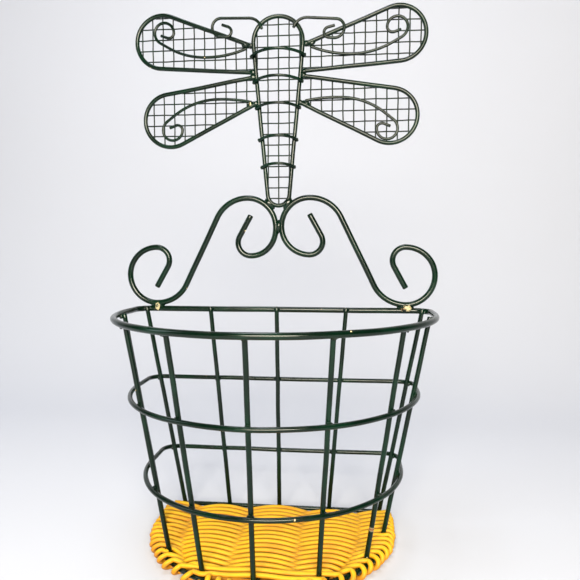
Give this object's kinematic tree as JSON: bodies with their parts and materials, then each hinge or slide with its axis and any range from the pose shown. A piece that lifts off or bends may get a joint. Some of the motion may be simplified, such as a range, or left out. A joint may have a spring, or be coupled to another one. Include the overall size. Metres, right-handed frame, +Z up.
{
  "type": "egg collection basket",
  "caption": "Flat-backed wire egg basket with a woven reed floor, scrolls on the rim and a dragonfly of rod and mesh on top.",
  "frame": {"origin": "middle of the underside of the woven floor, on the surface that the basket stands on", "axes": "+Z up, +X to the right seen from the round front, +Y towards the flat back"},
  "size_m": [0.188, 0.1144, 0.303],
  "materials": {
    "painted_rod": "glossy dark hunter green paint, chipped to cream in places",
    "painted_mesh": "satin dark green paint on welded wire mesh",
    "reed": "round reed, stained golden yellow with orange patches"
  },
  "bodies": {
    "root": {"antenna_left": "painted_rod", "antenna_right": "painted_rod", "back_bar_left": "painted_rod", "back_bar_middle": "painted_rod", "back_bar_right": "painted_rod", "base_hoop": "painted_rod", "body_band_1": "painted_rod", "body_band_2": "painted_rod", "body_band_3": "painted_rod", "body_band_4": "painted_rod", "body_band_5": "painted_rod", "body_mesh": "painted_mesh", "body_outline": "painted_rod", "corner_bar_left": "painted_rod", "corner_bar_right": "painted_rod", "floor_rib_left": "painted_rod", "floor_rib_middle": "painted_rod", "floor_rib_right": "painted_rod", "front_bar_1": "painted_rod", "front_bar_2": "painted_rod", "front_bar_3": "painted_rod", "front_bar_4": "painted_rod", "front_bar_5": "painted_rod", "front_bar_6": "painted_rod", "front_bar_7": "painted_rod", "lower_hoop": "painted_rod", "lower_swirl_left": "painted_rod", "lower_swirl_right": "painted_rod", "lower_wing_mesh_left": "painted_mesh", "lower_wing_mesh_right": "painted_mesh", "lower_wing_outline_left": "painted_rod", "lower_wing_outline_right": "painted_rod", "middle_hoop": "painted_rod", "rim": "painted_rod", "rim_bead_left": "painted_rod", "rim_bead_right": "painted_rod", "scroll_bead": "painted_rod", "scroll_left": "painted_rod", "scroll_right": "painted_rod", "tail_bead_left": "painted_rod", "tail_bead_right": "painted_rod", "upper_swirl_left": "painted_rod", "upper_swirl_right": "painted_rod", "upper_wing_mesh_left": "painted_mesh", "upper_wing_mesh_right": "painted_mesh", "upper_wing_outline_left": "painted_rod", "upper_wing_outline_right": "painted_rod", "woven_floor": "reed"}
  },
  "joints": []
}
